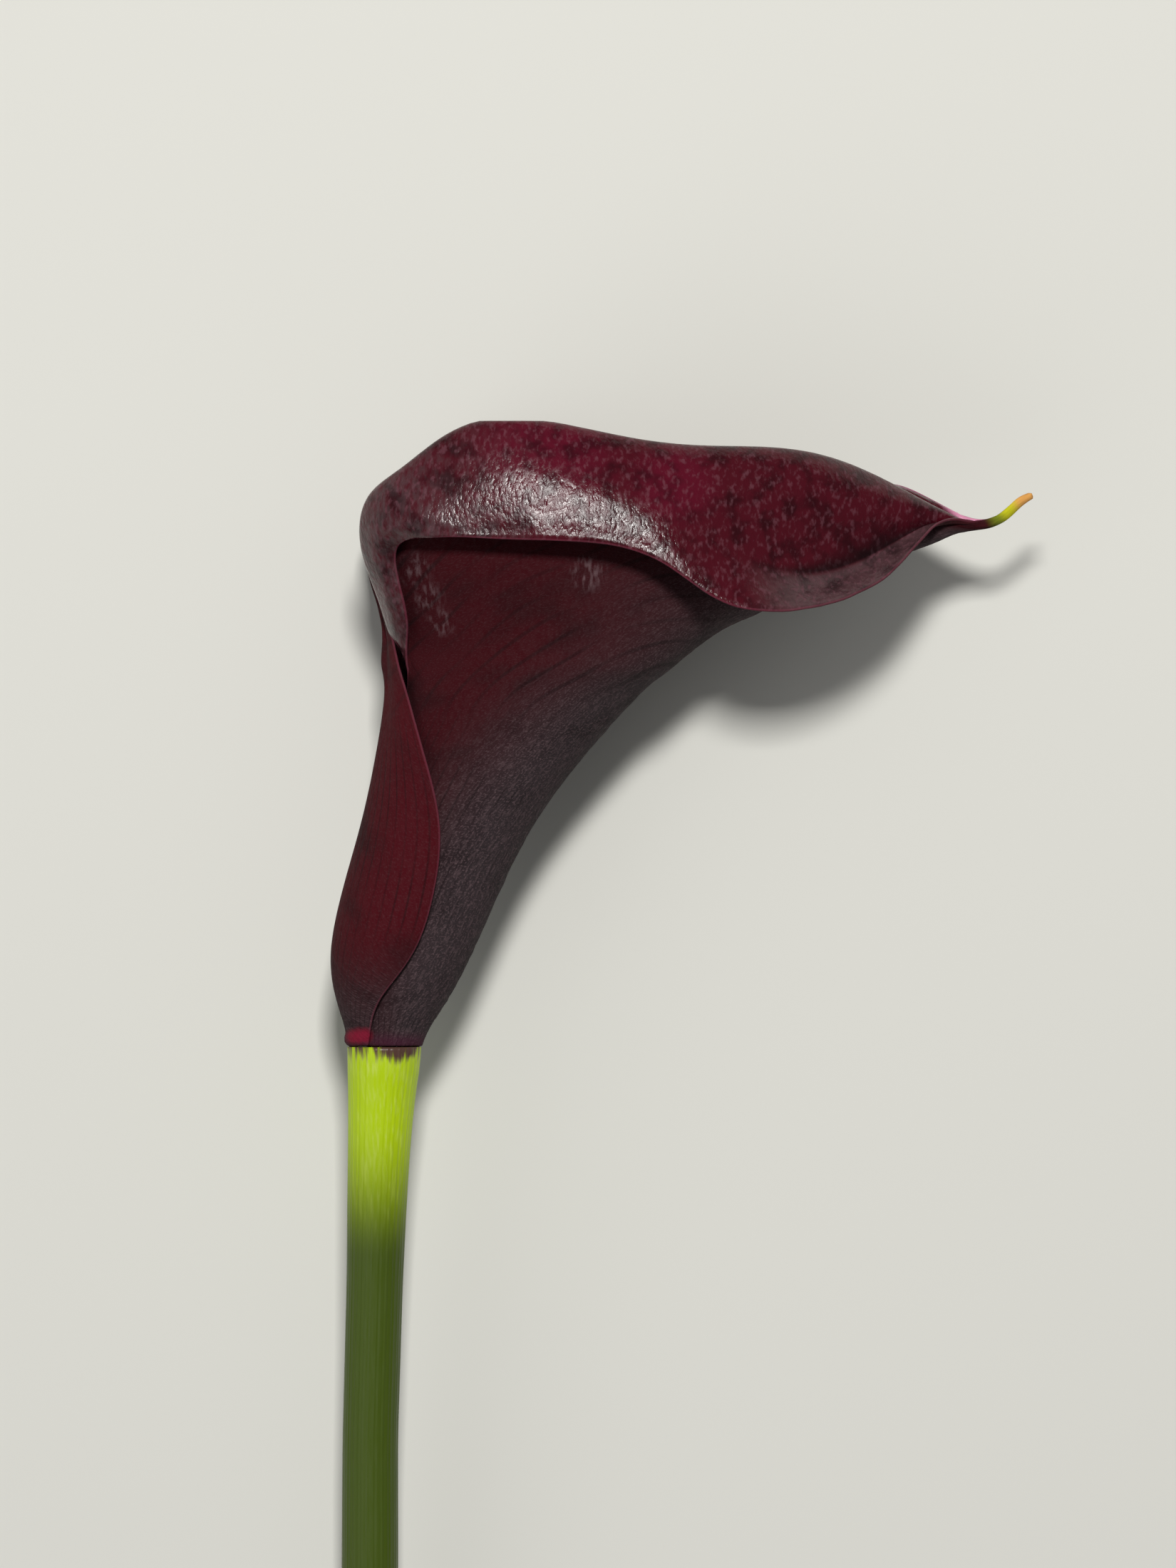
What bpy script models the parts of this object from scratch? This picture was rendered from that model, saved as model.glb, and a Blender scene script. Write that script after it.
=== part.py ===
"""A cut calla lily flower, lying on its side: one rolled spathe, the spadix inside it, and a straight stem.

Lengths in the tables are millimetres, in the flower's own frame: X across the flower toward the tail, Y up the
stem toward the mouth, Z toward the side that faces up as it lies. The last step carries that frame to the
resting frame: floor at z = 0, origin at the middle of the footprint.
"""

import math

import bmesh
import bpy
import numpy as np

MM = 0.001
FLOOR_Z = -22.43  # where the floor touches the far lip, in the flower's own frame
ORIGIN_X = 43.22  # middle of the footprint, in the flower's own frame
ORIGIN_Y = -43.62
SHEET = 0.9  # thickness of the spathe
LAYER_STEP = 1.6  # how far the inner layer of the roll lies inside the outer one
LAYER_TURN = 75.0  # degrees past the midrib over which it steps in
FLAP_STOPS = (1.0, 0.66, 0.33)  # where a rib's points fall on the flap, as parts of its turn
INNER_STOPS = (0.17, 0.34, 0.52, 0.7, 0.84, 0.9, 0.95, 1.0)  # and on the inner layer
WALL_STOPS = (0.16, 0.36, 0.58, 0.8)  # and on an open wall, from midrib to crest
STEM_SIDES = 20
SPADIX_SIDES = 16

# Lower ribs, closed rolls: height, middle x, half width, half depth, flap edge and inner edge in degrees
# measured from the midrib across the upper side.
ROLLS = [
    (0.35, 1.4, 4.9, 4.9, 118, 165),
    (3.0, 1.8, 5.65, 5.6, 114, 170),
    (7.2, 2.5, 7.6, 7.5, 101, 174),
    (13.4, 3.8, 9.55, 9.3, 80, 174),
    (21.9, 6.5, 10.65, 10.2, 80, 172),
    (31.3, 10.2, 11.75, 11.2, 95, 168),
    (41.0, 14.8, 14.2, 12.8, 123, 163),
    (49.8, 19.4, 17.5, 14.4, 148, 158),
]

# Upper ribs, from the midrib to the lip, one row each: midrib; two handles that swell the upper wall.
MIDRIB = [
    ((40.4, 52.7, 0), (39.6, 52.9, 18), (15.5, 54.0, 14.6)),
    ((43.4, 55.2, 0), (42, 55.4, 19), (11.5, 57.0, 14.8)),
    ((48.5, 58.9, 0), (47, 59.3, 18.5), (9, 62.5, 16.2)),
    ((53.5, 61.2, 0), (51, 62.0, 18), (6, 69.0, 17.5)),
    ((58.5, 63.6, 0), (56, 64.5, 17.5), (5, 72.5, 17.5)),
    ((63.0, 65.5, 0), (60, 66.5, 16.5), (9, 74, 17.5)),
    ((67.0, 67.0, 0), (63, 68.0, 15), (20.5, 76, 17)),
    ((70.5, 68.2, 0), (67, 69.0, 13), (36, 76, 16)),
    ((73.6, 69.4, 0), (70.5, 70.0, 10), (48, 76, 13.5)),
    ((76.5, 70.5, 0), (74, 71.0, 6.5), (60.5, 77, 8.4)),
    ((79.3, 71.6, 0), (78, 71.7, 3.2), (70.5, 76, 3.0)),
    ((82.0, 72.7, 0), (81, 72.8, 1.0), (78.6, 74.4, 1.0)),
    ((85.2, 73.1, 0), (85.1, 73.0, 0.9), (84.6, 73.2, 1.1)),
    ((88.3, 74.1, 0), (88.2, 74.1, 0.4), (88.1, 74.3, 0.5)),
    ((90.6, 76.1, 0), (90.5, 76.1, 0.3), (90.4, 76.3, 0.4)),
    ((92.4, 77.4, 0), (92.4, 77.4, 0.2), (92.3, 77.5, 0.3)),
]

# Upper side: crest where the sheet folds out, two points on the reflexed lip, and its free edge.
LIP_UP = [
    ((6.4, 53.9, 6.4), (5.3, 53.9, 5.6), (4.7, 53.9, 5.4), (4.6, 53.9, 6.0)),
    ((3.4, 57.5, 3.2), (3.1, 57.5, 4.9), (3.6, 57.6, 6.5), (4.7, 57.5, 7.7)),
    ((1.5, 63.0, 5.0), (1.5, 63.0, 7.2), (2.6, 62.9, 9.2), (4.2, 62.6, 10.4)),
    ((-0.9, 70.3, 8.6), (-0.7, 70.4, 11.0), (0.9, 70.0, 13.2), (3.1, 69.6, 14.2)),
    ((-0.1, 76.8, 12.2), (1.0, 76.4, 15.4), (4.0, 74.0, 18.0), (7.6, 71.5, 18.8)),
    ((5.4, 81.5, 14.4), (7.0, 80.2, 17.2), (10.8, 76.0, 19.2), (14.8, 71.4, 21.0)),
    ((16.4, 87.4, 15.4), (18.2, 85.0, 18.2), (21.6, 78.4, 19.9), (25.0, 71.0, 21.7)),
    ((33.0, 85.5, 14.6), (34.0, 82.4, 17.7), (36.0, 75.8, 19.9), (38.2, 69.0, 21.9)),
    ((46.0, 83.9, 12.2), (46.4, 80.6, 16.0), (47.4, 71.4, 18.6), (48.8, 62.4, 21.9)),
    ((59.0, 83.5, 8.4), (59.3, 78.8, 12.4), (60.0, 67.8, 12.4), (60.4, 61.6, 18.8)),
    ((69.4, 80.4, 3.4), (69.9, 76.5, 7.0), (70.6, 70.4, 5.8), (71.4, 65.8, 11.0)),
    ((77.4, 76.3, 1.2), (77.9, 75.1, 2.8), (78.2, 73.4, 2.6), (78.9, 73.3, 4.4)),
    ((84.4, 73.4, 1.2), (84.3, 73.5, 1.3), (84.2, 73.7, 1.4), (84.1, 73.9, 1.4)),
    ((88.0, 74.4, 0.5), (88.0, 74.5, 0.5), (87.9, 74.6, 0.5), (87.8, 74.7, 0.4)),
    ((90.4, 76.4, 0.4), (90.3, 76.5, 0.4), (90.3, 76.6, 0.4), (90.2, 76.7, 0.3)),
    ((92.3, 77.5, 0.3), (92.3, 77.6, 0.3), (92.3, 77.6, 0.2), (92.2, 77.7, 0.2)),
]

# Lower side, the one that rests on the floor: the same four points on the flap and its lip.
LIP_DOWN = [
    ((1.9, 53.9, -0.6), (2.0, 53.8, 2.2), (2.6, 53.8, 4.9), (3.4, 53.7, 7.0)),
    ((2.0, 57.5, -1.4), (2.0, 57.5, 0.6), (2.1, 57.5, 2.5), (2.5, 57.5, 4.2)),
    ((1.2, 62.6, -4.4), (0.9, 62.8, -2.8), (0.7, 62.9, -1.1), (0.5, 63.2, 0.4)),
    ((-0.4, 69.8, -9.4), (-0.9, 70.3, -8.0), (-1.3, 70.9, -6.2), (-1.5, 71.4, -4.4)),
    ((1.8, 76.4, -11.8), (1.0, 76.7, -12.5), (0.4, 76.4, -13.1), (0.1, 75.8, -13.8)),
    ((6.6, 80.8, -13.8), (5.9, 80.3, -16.8), (6.2, 78.0, -19.6), (7.4, 74.8, -21.2)),
    ((16.8, 86.2, -14.8), (18.0, 83.8, -18.8), (20.6, 77.8, -21.4), (23.4, 72.0, -21.75)),
    ((33.0, 84.3, -14.2), (33.8, 81.4, -18.4), (35.6, 75.6, -21.2), (37.6, 70.2, -21.8)),
    ((46.2, 82.8, -12.4), (46.6, 80.0, -16.6), (47.5, 73.6, -20.4), (48.8, 67.8, -21.8)),
    ((59.0, 82.6, -8.6), (59.3, 80.4, -12.2), (60.0, 76.0, -16.6), (61.2, 72.4, -19.6)),
    ((68.8, 79.9, -2.4), (69.5, 79.6, -4.2), (70.3, 79.1, -5.8), (71.1, 78.6, -7.0)),
    ((77.0, 76.9, -0.9), (77.4, 77.0, -1.5), (78.0, 76.9, -2.1), (78.6, 76.6, -2.4)),
    ((84.7, 73.6, -1.0), (84.6, 73.8, -1.1), (84.5, 74.0, -1.1), (84.3, 74.2, -1.0)),
    ((88.1, 74.4, -0.5), (88.0, 74.5, -0.5), (88.0, 74.7, -0.5), (87.9, 74.8, -0.4)),
    ((90.4, 76.4, -0.4), (90.3, 76.5, -0.4), (90.3, 76.6, -0.4), (90.2, 76.8, -0.3)),
    ((92.3, 77.5, -0.3), (92.3, 77.6, -0.3), (92.3, 77.6, -0.2), (92.2, 77.8, -0.2)),
]

# Stem: height, middle x, middle z, radius. It slopes down from the flower to the cut end on the floor.
STEM = [
    (-175.0, -1.5, -18.5, 3.85),
    (-174.2, -1.5, -18.45, 3.95),
    (-150.0, -1.2, -15.6, 3.95),
    (-110.0, -0.9, -11.3, 3.9),
    (-73.0, -0.7, -7.4, 3.9),
    (-54.9, -0.64, -5.5, 3.8),
    (-32.8, 0.0, -3.2, 3.85),
    (-23.0, 0.27, -2.2, 4.05),
    (-13.0, 0.65, -1.2, 4.3),
    (-8.3, 0.9, -0.7, 4.55),
    (-3.5, 1.2, -0.2, 4.95),
    (-0.8, 1.4, 0.0, 5.3),
    (-0.1, 1.4, 0.0, 5.2),
]

# Spadix: height, middle x, radius. It stands on the stem, inside the roll.
SPADIX = [
    (0.2, 1.4, 2.1),
    (1.0, 1.45, 2.4),
    (6.0, 2.3, 2.7),
    (14.0, 4.0, 3.0),
    (24.0, 7.2, 3.0),
    (34.0, 10.8, 2.8),
    (42.0, 14.0, 2.4),
    (47.0, 16.2, 1.8),
    (49.6, 17.3, 0.9),
]


def clear_scene():
    for obj in list(bpy.data.objects):
        bpy.data.objects.remove(obj, do_unlink=True)


def flower_collection():
    coll = bpy.data.collections.new("calla_lily_flower")
    bpy.context.scene.collection.children.link(coll)
    return coll


def plant_material(name, colour, roughness):
    mat = bpy.data.materials.new(name)
    mat.use_nodes = True
    shader = next(n for n in mat.node_tree.nodes if n.type == "BSDF_PRINCIPLED")
    shader.inputs["Base Color"].default_value = (*colour, 1.0)
    shader.inputs["Roughness"].default_value = roughness
    return mat


def at_rest(point):
    """A point of the flower's own frame, in mm, as the flower lies on the floor, in metres."""
    x, y, z = point
    return ((x - ORIGIN_X) * MM, (y - ORIGIN_Y) * MM, (z - FLOOR_Z) * MM)


def bezier(a, b, c, d, s):
    a, b, c, d = (np.array(p, float) for p in (a, b, c, d))
    r = 1 - s
    return r**3 * a + 3 * r * r * s * b + 3 * r * s * s * c + s**3 * d


def roll_rib(height, mid_x, half_w, half_d, flap_edge, inner_edge):
    """One closed rib of the roll: 17 points from the flap's edge, round the floor side, to the inner edge."""
    wrap = 360 - flap_edge
    angles = [-180 - (wrap - 180) * f for f in FLAP_STOPS]
    angles += [-180, -144, -108, -72, -36, 0]
    angles += [inner_edge * f for f in INNER_STOPS]
    points = []
    for a in angles:
        step = LAYER_STEP * min(max(a, 0) / LAYER_TURN, 1.0)
        c, s = math.cos(math.radians(a)), math.sin(math.radians(a))
        points.append((mid_x + (half_w - step) * c, height, (half_d - step) * s))
    return np.array(points)


def lip_rib(mid, up, down):
    """One open rib: 17 points from the lower side's edge, over its crest, past the midrib, to the upper edge."""
    spine, low_handle, high_handle = (np.array(p, float) for p in mid)
    flip = np.array([1, 1, -1])
    near = [bezier(spine, low_handle, high_handle, up[0], s) for s in WALL_STOPS]
    far_handle = np.array(down[0]) + high_handle - np.array(up[0])
    far_handle[2] = -high_handle[2]
    far = [bezier(spine, low_handle * flip, far_handle, down[0], s) for s in WALL_STOPS]
    return np.array([*down[::-1], *far[::-1], spine, *near, *up], float)


def through(count):
    """The smoothing that subdivision applies to a row of points, as a matrix."""
    m = np.eye(count) * 4 / 6 + (np.eye(count, k=1) + np.eye(count, k=-1)) / 6
    m[0], m[-1] = np.eye(count)[0], np.eye(count)[-1]
    return m


def spathe_cage():
    """A cage whose subdivided surface passes through every point of the ribs."""
    ribs = [roll_rib(*r) for r in ROLLS]
    ribs += [lip_rib(m, u, d) for m, u, d in zip(MIDRIB, LIP_UP, LIP_DOWN)]
    grid = np.array(ribs)
    rows, cols = grid.shape[:2]
    along = np.linalg.solve(through(rows), grid.reshape(rows, -1)).reshape(grid.shape)
    across = np.linalg.solve(through(cols), along.transpose(1, 0, 2).reshape(cols, -1))
    return across.reshape(cols, rows, 3).transpose(1, 0, 2)


def add_mesh(coll, name, points, faces, mat):
    mesh = bpy.data.meshes.new(name)
    mesh.from_pydata([at_rest(p) for p in points], [], faces)
    mesh.validate()
    obj = bpy.data.objects.new(name, mesh)
    coll.objects.link(obj)
    mesh.materials.append(mat)
    mesh.shade_smooth()
    return obj


def add_spathe(coll):
    """The sheet: a cage through the ribs, subdivided once, then given its thickness evenly on both sides."""
    cage = spathe_cage()
    rows, cols = cage.shape[:2]
    faces = []
    for r in range(rows - 1):
        for c in range(cols - 1):
            a = r * cols + c
            faces.append((a, a + 1, a + cols + 1, a + cols))
    mat = plant_material("spathe_tissue", (0.06, 0.006, 0.018), 0.5)
    obj = add_mesh(coll, "spathe", cage.reshape(-1, 3), faces, mat)
    soft = obj.modifiers.new("soft", "SUBSURF")
    soft.levels = soft.render_levels = 1
    soft.boundary_smooth = "PRESERVE_CORNERS"
    thick = obj.modifiers.new("thickness", "SOLIDIFY")
    thick.thickness = SHEET * MM
    thick.offset = 0.0
    return obj


def add_round_loft(coll, name, sections, sides, mat):
    """A closed round body through (x, y, z, radius) sections, with a flat disc at each end."""
    obj = add_mesh(coll, name, [], [], mat)
    bm = bmesh.new()
    rings = []
    for x, y, z, r in sections:
        turn = [2 * math.pi * k / sides for k in range(sides)]
        ring = [(x + r * math.cos(a), y, z + r * math.sin(a)) for a in turn]
        rings.append([bm.verts.new(at_rest(p)) for p in ring])
    for low, high in zip(rings, rings[1:]):
        for k in range(sides):
            n = (k + 1) % sides
            bm.faces.new((low[k], high[k], high[n], low[n]))
    bm.faces.new(rings[0])
    bm.faces.new(rings[-1][::-1])
    bmesh.ops.recalc_face_normals(bm, faces=bm.faces)
    bm.to_mesh(obj.data)
    bm.free()
    return obj


def add_stem(coll):
    mat = plant_material("stem_tissue", (0.25, 0.38, 0.03), 0.45)
    sections = [(x, y, z, r) for y, x, z, r in STEM]
    return add_round_loft(coll, "stem", sections, STEM_SIDES, mat)


def add_spadix(coll):
    mat = plant_material("spadix_tissue", (0.5, 0.3, 0.05), 0.7)
    sections = [(x, y, 0.0, r) for y, x, r in SPADIX]
    return add_round_loft(coll, "spadix", sections, SPADIX_SIDES, mat)


def main():
    clear_scene()
    coll = flower_collection()
    add_stem(coll)
    add_spathe(coll)
    add_spadix(coll)


main()
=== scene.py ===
"""A cut calla lily lying on a pale table: its rolled spathe, the spadix inside it, and its bare stem."""

import math

import bpy
import numpy as np
from bpy.props import FloatProperty, FloatVectorProperty, IntProperty, PointerProperty
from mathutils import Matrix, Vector


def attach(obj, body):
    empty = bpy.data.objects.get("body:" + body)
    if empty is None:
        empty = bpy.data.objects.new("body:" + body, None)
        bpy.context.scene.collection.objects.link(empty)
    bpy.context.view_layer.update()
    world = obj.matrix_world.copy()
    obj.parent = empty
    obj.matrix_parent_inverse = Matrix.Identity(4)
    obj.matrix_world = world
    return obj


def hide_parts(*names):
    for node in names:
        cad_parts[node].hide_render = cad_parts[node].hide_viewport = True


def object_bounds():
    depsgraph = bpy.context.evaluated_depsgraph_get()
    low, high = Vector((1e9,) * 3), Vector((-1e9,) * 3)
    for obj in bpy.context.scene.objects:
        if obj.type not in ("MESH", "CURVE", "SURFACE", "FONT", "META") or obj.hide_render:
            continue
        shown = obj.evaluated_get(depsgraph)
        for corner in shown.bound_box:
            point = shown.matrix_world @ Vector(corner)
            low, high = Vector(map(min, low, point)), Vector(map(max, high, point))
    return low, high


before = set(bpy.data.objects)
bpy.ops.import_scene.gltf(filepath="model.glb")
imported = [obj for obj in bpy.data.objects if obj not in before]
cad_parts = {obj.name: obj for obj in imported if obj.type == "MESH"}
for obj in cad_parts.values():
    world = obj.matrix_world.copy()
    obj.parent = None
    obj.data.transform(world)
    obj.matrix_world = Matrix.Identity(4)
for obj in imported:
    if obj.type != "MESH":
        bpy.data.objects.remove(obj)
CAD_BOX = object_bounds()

bl_info = {
    "name": "Calla Lily Flower",
    "version": (1, 0, 0),
    "blender": (4, 5, 0),
    "location": "3D View > Sidebar > Calla",
    "description": "Builds a cut calla lily: spathe, spadix, stem and the table it lies on",
    "category": "Add Mesh",
}

MM = 0.001

# The flower's own frame, in mm, laid on the floor: the spathe's far lip touches z = 0.
FLOOR_Z = -22.43
ORIGIN_X = 43.22
ORIGIN_Y = -43.62
LAYER_STEP = 1.6  # how far the inner layer of the roll lies inside the outer one
LAYER_TURN = 75.0  # degrees past the midrib over which it steps in
FLAP_STOPS = (1.0, 0.66, 0.33)  # where a rib's points fall on the flap, as parts of its turn
INNER_STOPS = (0.17, 0.34, 0.52, 0.7, 0.84, 0.9, 0.95, 1.0)  # and on the inner layer
WALL_STOPS = (0.16, 0.36, 0.58, 0.8)  # and on an open wall, from midrib to crest
MIDRIB_KEY = 8  # the midrib's place among the 17 points of a rib
VEIN_KEYS = 0.31  # distance between veins, in those points
TAIL_HALF = 0.32  # half thickness of the tail, in mm
COLLAR_HEIGHT = 0.28  # how far the collar at the foot swells, in mm
STEM_SIDES = 220
FLORET_DENSITY = 3e6  # most florets per square metre, before they are packed

# Places on the flower, in its own frame and in mm.
VEIN_CENTRE = (45, 25)  # centre of the arcs that the veins of the throat's wall follow
VEIN_STEP = 3.1  # distance between those arcs
BELLY_KEY = 15.0  # where the lip bulges most, in points across a rib
# The painted shade of the groove runs along this key.
GROOVE_KEY = 15.15  # the groove of the lip, in points across a rib
SCUFFS = ((5.9, 67, 3.2), (7.6, 63, 3.0), (9.4, 59.6, 2.6), (30, 66.5, 3.4))  # worn spots: x, y and reach
CRIMSON = ((24, 83, 13), (42, 79, 8))  # the brightest spots of the lip
COLLAR = ((-3.0, 1.5, 1.5), (-2.2, 1.6, 1.6), (-1.3, 1.7, 1.5))  # the small red collar at the foot
BRUSH = (1.4 / MM, 0.4 / MM, 1.0 / MM)  # strokes on the lip's dull end: cells per metre
WEAR = (1.7 / MM, 0.6 / MM, 0.8 / MM)  # worn streaks in the throat
STROKES = (1.7 / MM, 0.95 / MM, 1.2 / MM)  # strokes on the glossy lip
TAIL_COLOURS = ((20.3, 20.9, "green"), (20.8, 21.4, "lime"), (21.5, 22.3, "tail"))  # from rib, to rib, colour

# Settings that many nodes share.
SOFT = {"interpolation_type": "SMOOTHSTEP"}
RGBA = {"data_type": "RGBA"}

# Lower ribs, closed rolls: height, middle x, half width, half depth, flap edge and inner edge in degrees
# measured from the midrib across the upper side.
ROLLS = [
    (0.35, 1.4, 4.9, 4.9, 118, 165),
    (3.0, 1.8, 5.65, 5.6, 114, 170),
    (7.2, 2.5, 7.6, 7.5, 101, 174),
    (13.4, 3.8, 9.55, 9.3, 80, 174),
    (21.9, 6.5, 10.65, 10.2, 80, 172),
    (31.3, 10.2, 11.75, 11.2, 95, 168),
    (41.0, 14.8, 14.2, 12.8, 123, 163),
    (49.8, 19.4, 17.5, 14.4, 148, 158),
]

# Upper ribs, from the midrib to the lip, one row each: midrib; two handles that swell the upper wall.
MIDRIB = [
    ((40.4, 52.7, 0), (39.6, 52.9, 18), (15.5, 54.0, 14.6)),
    ((43.4, 55.2, 0), (42, 55.4, 19), (11.5, 57.0, 14.8)),
    ((48.5, 58.9, 0), (47, 59.3, 18.5), (9, 62.5, 16.2)),
    ((53.5, 61.2, 0), (51, 62.0, 18), (6, 69.0, 17.5)),
    ((58.5, 63.6, 0), (56, 64.5, 17.5), (5, 72.5, 17.5)),
    ((63.0, 65.5, 0), (60, 66.5, 16.5), (9, 74, 17.5)),
    ((67.0, 67.0, 0), (63, 68.0, 15), (20.5, 76, 17)),
    ((70.5, 68.2, 0), (67, 69.0, 13), (36, 76, 16)),
    ((73.6, 69.4, 0), (70.5, 70.0, 10), (48, 76, 13.5)),
    ((76.5, 70.5, 0), (74, 71.0, 6.5), (60.5, 77, 8.4)),
    ((79.3, 71.6, 0), (78, 71.7, 3.2), (70.5, 76, 3.0)),
    ((82.0, 72.7, 0), (81, 72.8, 1.0), (78.6, 74.4, 1.0)),
    ((85.2, 73.1, 0), (85.1, 73.0, 0.9), (84.6, 73.2, 1.1)),
    ((88.3, 74.1, 0), (88.2, 74.1, 0.4), (88.1, 74.3, 0.5)),
    ((90.6, 76.1, 0), (90.5, 76.1, 0.3), (90.4, 76.3, 0.4)),
    ((92.4, 77.4, 0), (92.4, 77.4, 0.2), (92.3, 77.5, 0.3)),
]

# Upper side: crest where the sheet folds out, two points on the reflexed lip, and its free edge.
LIP_UP = [
    ((6.4, 53.9, 6.4), (5.3, 53.9, 5.6), (4.7, 53.9, 5.4), (4.6, 53.9, 6.0)),
    ((3.4, 57.5, 3.2), (3.1, 57.5, 4.9), (3.6, 57.6, 6.5), (4.7, 57.5, 7.7)),
    ((1.5, 63.0, 5.0), (1.5, 63.0, 7.2), (2.6, 62.9, 9.2), (4.2, 62.6, 10.4)),
    ((-0.9, 70.3, 8.6), (-0.7, 70.4, 11.0), (0.9, 70.0, 13.2), (3.1, 69.6, 14.2)),
    ((-0.1, 76.8, 12.2), (1.0, 76.4, 15.4), (4.0, 74.0, 18.0), (7.6, 71.5, 18.8)),
    ((5.4, 81.5, 14.4), (7.0, 80.2, 17.2), (10.8, 76.0, 19.2), (14.8, 71.4, 21.0)),
    ((16.4, 87.4, 15.4), (18.2, 85.0, 18.2), (21.6, 78.4, 19.9), (25.0, 71.0, 21.7)),
    ((33.0, 85.5, 14.6), (34.0, 82.4, 17.7), (36.0, 75.8, 19.9), (38.2, 69.0, 21.9)),
    ((46.0, 83.9, 12.2), (46.4, 80.6, 16.0), (47.4, 71.4, 18.6), (48.8, 62.4, 21.9)),
    ((59.0, 83.5, 8.4), (59.3, 78.8, 12.4), (60.0, 67.8, 12.4), (60.4, 61.6, 18.8)),
    ((69.4, 80.4, 3.4), (69.9, 76.5, 7.0), (70.6, 70.4, 5.8), (71.4, 65.8, 11.0)),
    ((77.4, 76.3, 1.2), (77.9, 75.1, 2.8), (78.2, 73.4, 2.6), (78.9, 73.3, 4.4)),
    ((84.4, 73.4, 1.2), (84.3, 73.5, 1.3), (84.2, 73.7, 1.4), (84.1, 73.9, 1.4)),
    ((88.0, 74.4, 0.5), (88.0, 74.5, 0.5), (87.9, 74.6, 0.5), (87.8, 74.7, 0.4)),
    ((90.4, 76.4, 0.4), (90.3, 76.5, 0.4), (90.3, 76.6, 0.4), (90.2, 76.7, 0.3)),
    ((92.3, 77.5, 0.3), (92.3, 77.6, 0.3), (92.3, 77.6, 0.2), (92.2, 77.7, 0.2)),
]

# Lower side, the one that rests on the floor: the same four points on the flap and its lip.
LIP_DOWN = [
    ((1.9, 53.9, -0.6), (2.0, 53.8, 2.2), (2.6, 53.8, 4.9), (3.4, 53.7, 7.0)),
    ((2.0, 57.5, -1.4), (2.0, 57.5, 0.6), (2.1, 57.5, 2.5), (2.5, 57.5, 4.2)),
    ((1.2, 62.6, -4.4), (0.9, 62.8, -2.8), (0.7, 62.9, -1.1), (0.5, 63.2, 0.4)),
    ((-0.4, 69.8, -9.4), (-0.9, 70.3, -8.0), (-1.3, 70.9, -6.2), (-1.5, 71.4, -4.4)),
    ((1.8, 76.4, -11.8), (1.0, 76.7, -12.5), (0.4, 76.4, -13.1), (0.1, 75.8, -13.8)),
    ((6.6, 80.8, -13.8), (5.9, 80.3, -16.8), (6.2, 78.0, -19.6), (7.4, 74.8, -21.2)),
    ((16.8, 86.2, -14.8), (18.0, 83.8, -18.8), (20.6, 77.8, -21.4), (23.4, 72.0, -21.75)),
    ((33.0, 84.3, -14.2), (33.8, 81.4, -18.4), (35.6, 75.6, -21.2), (37.6, 70.2, -21.8)),
    ((46.2, 82.8, -12.4), (46.6, 80.0, -16.6), (47.5, 73.6, -20.4), (48.8, 67.8, -21.8)),
    ((59.0, 82.6, -8.6), (59.3, 80.4, -12.2), (60.0, 76.0, -16.6), (61.2, 72.4, -19.6)),
    ((68.8, 79.9, -2.4), (69.5, 79.6, -4.2), (70.3, 79.1, -5.8), (71.1, 78.6, -7.0)),
    ((77.0, 76.9, -0.9), (77.4, 77.0, -1.5), (78.0, 76.9, -2.1), (78.6, 76.6, -2.4)),
    ((84.7, 73.6, -1.0), (84.6, 73.8, -1.1), (84.5, 74.0, -1.1), (84.3, 74.2, -1.0)),
    ((88.1, 74.4, -0.5), (88.0, 74.5, -0.5), (88.0, 74.7, -0.5), (87.9, 74.8, -0.4)),
    ((90.4, 76.4, -0.4), (90.3, 76.5, -0.4), (90.3, 76.6, -0.4), (90.2, 76.8, -0.3)),
    ((92.3, 77.5, -0.3), (92.3, 77.6, -0.3), (92.3, 77.6, -0.2), (92.2, 77.8, -0.2)),
]

# Stem: height, middle x, middle z, radius. It slopes down from the flower to the cut end on the floor.
STEM = [
    (-175.0, -1.5, -18.5, 3.85),
    (-174.2, -1.5, -18.45, 3.95),
    (-150.0, -1.2, -15.6, 3.95),
    (-110.0, -0.9, -11.3, 3.9),
    (-73.0, -0.7, -7.4, 3.9),
    (-54.9, -0.64, -5.5, 3.8),
    (-32.8, 0.0, -3.2, 3.85),
    (-23.0, 0.27, -2.2, 4.05),
    (-13.0, 0.65, -1.2, 4.3),
    (-8.3, 0.9, -0.7, 4.55),
    (-3.5, 1.2, -0.2, 4.95),
    (-0.8, 1.4, 0.0, 5.3),
    (-0.1, 1.4, 0.0, 5.2),
]

# Spadix: height, middle x, radius. It stands on the stem, inside the roll.
SPADIX = [
    (0.2, 1.4, 2.1),
    (1.0, 1.45, 2.4),
    (6.0, 2.3, 2.7),
    (14.0, 4.0, 3.0),
    (24.0, 7.2, 3.0),
    (34.0, 10.8, 2.8),
    (42.0, 14.0, 2.4),
    (47.0, 16.2, 1.8),
    (49.6, 17.3, 0.9),
]

# ---------------------------------------------------------------- colours


def linear(code):
    """The linear colour, with alpha 1, that an sRGB hex code stands for."""
    values = [int(code[k : k + 2], 16) / 255 for k in (0, 2, 4)]
    return tuple(v / 12.92 if v <= 0.04045 else ((v + 0.055) / 1.055) ** 2.4 for v in values) + (1.0,)


def hue(name, code, description):
    """A colour setting whose default is an sRGB hex code."""
    return FloatVectorProperty(
        name=name, description=description, default=linear(code), size=4, subtype="COLOR", min=0, max=1
    )


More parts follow.
